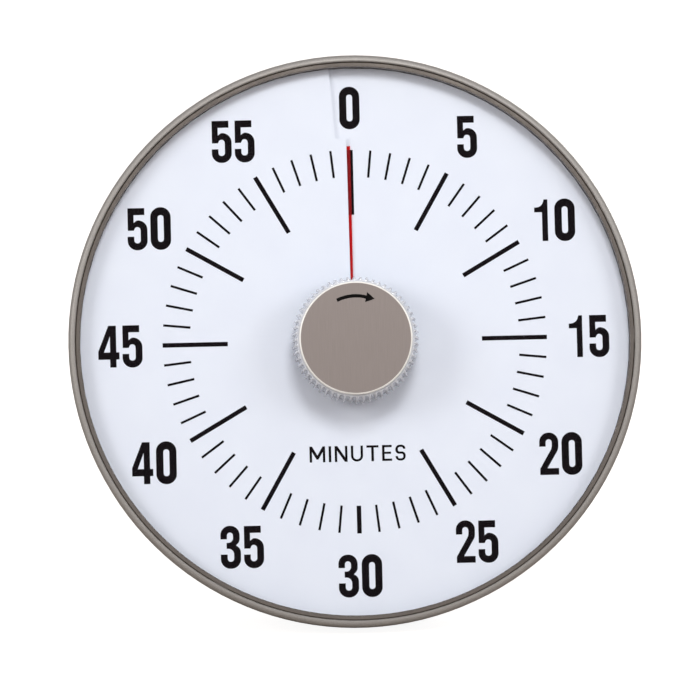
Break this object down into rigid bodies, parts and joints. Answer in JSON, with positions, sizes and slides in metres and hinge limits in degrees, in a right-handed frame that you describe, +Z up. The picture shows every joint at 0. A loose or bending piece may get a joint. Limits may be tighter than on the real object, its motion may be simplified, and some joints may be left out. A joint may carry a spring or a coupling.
{
  "type": "wind-up kitchen timer",
  "caption": "Round wind-up visual timer on a folding rear stand: white minute dial, red disc through a slit, clear ribbed knob with a metal cap.",
  "frame": {"origin": "on the floor, under the middle of the box of the standing timer", "axes": "+Z up; -Y is the way the dial faces, leaning back 12 degrees; +X to the right of someone who reads the dial"},
  "size_m": [0.18, 0.0831, 0.1787],
  "materials": {
    "case_paint": "satin warm-grey metallic lacquer on moulded plastic",
    "bezel_paint": "satin taupe metallic lacquer",
    "lens_clear": "clear polished acrylic",
    "dark_plastic": "fine moulded grain",
    "dial_white": "smooth printed sheet",
    "plate_white": "moulded",
    "film_red": "translucent red sheet",
    "hub_white": "moulded acetal",
    "knob_clear": "clear moulded acrylic with ribs",
    "knob_metal": "brushed taupe anodised face",
    "steel": "turned steel",
    "screw_steel": "zinc plated",
    "screw_black": "black oxide",
    "spring_steel": "blued spring steel",
    "brass": "rolled brass sheet",
    "wheel_acetal": "moulded acetal",
    "bell_nickel": "nickel-plated steel",
    "back_plastic": "fine spark-eroded grain",
    "rubber": "soft black rubber"
  },
  "bodies": {
    "case": {"case_shell": "case_paint", "bezel_ring": "bezel_paint", "front_lens": "lens_clear", "lens_spacer": "dark_plastic", "dial_card": "dial_white", "card_ring": "plate_white", "dial_plate": "plate_white", "spindle_bush": "brass", "front_plate": "brass", "rear_plate": "brass", "pillars": "steel", "plate_screws": "screw_steel", "movement_screws": "screw_steel", "mainspring": "spring_steel", "spring_post": "steel", "hairspring": "spring_steel", "hairspring_stud": "steel", "bell": "bell_nickel", "bell_post": "steel", "bell_screw": "screw_steel", "hammer_pivot": "steel", "rear_cover": "back_plastic", "cover_screws": "screw_black", "stand_pin": "steel"},
    "knob": {"knob_skirt": "knob_clear", "knob_cap": "knob_metal", "knob_screw": "screw_steel", "spindle": "steel", "great_wheel": "wheel_acetal", "ratchet_wheel": "steel", "click_pin": "steel", "trip_cam": "wheel_acetal"},
    "film": {"red_film": "film_red", "film_collar": "hub_white"},
    "click": {"click": "steel"},
    "second": {"second_wheel": "wheel_acetal", "second_arbor": "steel"},
    "third": {"third_wheel": "wheel_acetal", "third_arbor": "steel"},
    "escape": {"escape_wheel": "wheel_acetal", "escape_arbor": "steel"},
    "lever": {"pallet_lever": "steel", "pallet_arbor": "steel"},
    "balance": {"balance_wheel": "brass", "balance_staff": "steel"},
    "hammer": {"hammer": "steel"},
    "stand": {"stand_leg": "back_plastic", "stand_foot": "rubber"}
  },
  "joints": [
    {"name": "knob_turn", "type": "hinge", "parent": "case", "child": "knob", "pos_m": [0, -0.01729, 0.0897], "axis": [0, 0.9781, -0.2079], "range_deg": [0, 360], "deforming": ["mainspring"]},
    {"name": "film_lift", "type": "slide", "parent": "knob", "child": "film", "axis": [0, -0.9781, 0.2079], "range_m": [0, 0.0012]},
    {"name": "click_lift", "type": "hinge", "parent": "knob", "child": "click", "pos_m": [0.00488, -0.0185, 0.084], "axis": [0, 0.9781, -0.2079], "range_deg": [0, 8], "stiffness_Nm_per_rad": 0.002},
    {"name": "second_turn", "type": "hinge", "parent": "case", "child": "second", "pos_m": [-0.02182, -0.01467, 0.10202], "axis": [0, 0.9781, -0.2079], "range_deg": [-2160, 0]},
    {"name": "third_turn", "type": "hinge", "parent": "case", "child": "third", "pos_m": [-0.01307, -0.01152, 0.11685], "axis": [0, 0.9781, -0.2079], "range_deg": [0, 12960]},
    {"name": "escape_turn", "type": "hinge", "parent": "case", "child": "escape", "pos_m": [0.00071, -0.01202, 0.11447], "axis": [0, 0.9781, -0.2079], "range_deg": [-77760, 0]},
    {"name": "lever_rock", "type": "hinge", "parent": "case", "child": "lever", "pos_m": [0.00929, -0.01099, 0.11931], "axis": [0, 0.9781, -0.2079], "range_deg": [-5, 5]},
    {"name": "balance_swing", "type": "hinge", "parent": "case", "child": "balance", "pos_m": [0.01529, -0.01315, 0.10914], "axis": [0, 0.9781, -0.2079], "range_deg": [-150, 150], "stiffness_Nm_per_rad": 0.000015, "deforming": ["hairspring"]},
    {"name": "hammer_swing", "type": "hinge", "parent": "case", "child": "hammer", "pos_m": [0.027, -0.01687, 0.09165], "axis": [0, -0.9781, 0.2079], "range_deg": [0, 10], "stiffness_Nm_per_rad": 0.01},
    {"name": "stand_fold", "type": "hinge", "parent": "case", "child": "stand", "pos_m": [0, 0.01962, 0.10843], "axis": [1, 0, 0], "range_deg": [-22, 0]}
  ],
  "couplings": [
    {"joint": "film_lift", "follows": "knob_turn", "m_per_rad": 0.00019099},
    {"joint": "second_turn", "follows": "knob_turn", "ratio": -6},
    {"joint": "third_turn", "follows": "knob_turn", "ratio": 36},
    {"joint": "escape_turn", "follows": "knob_turn", "ratio": -216}
  ]
}
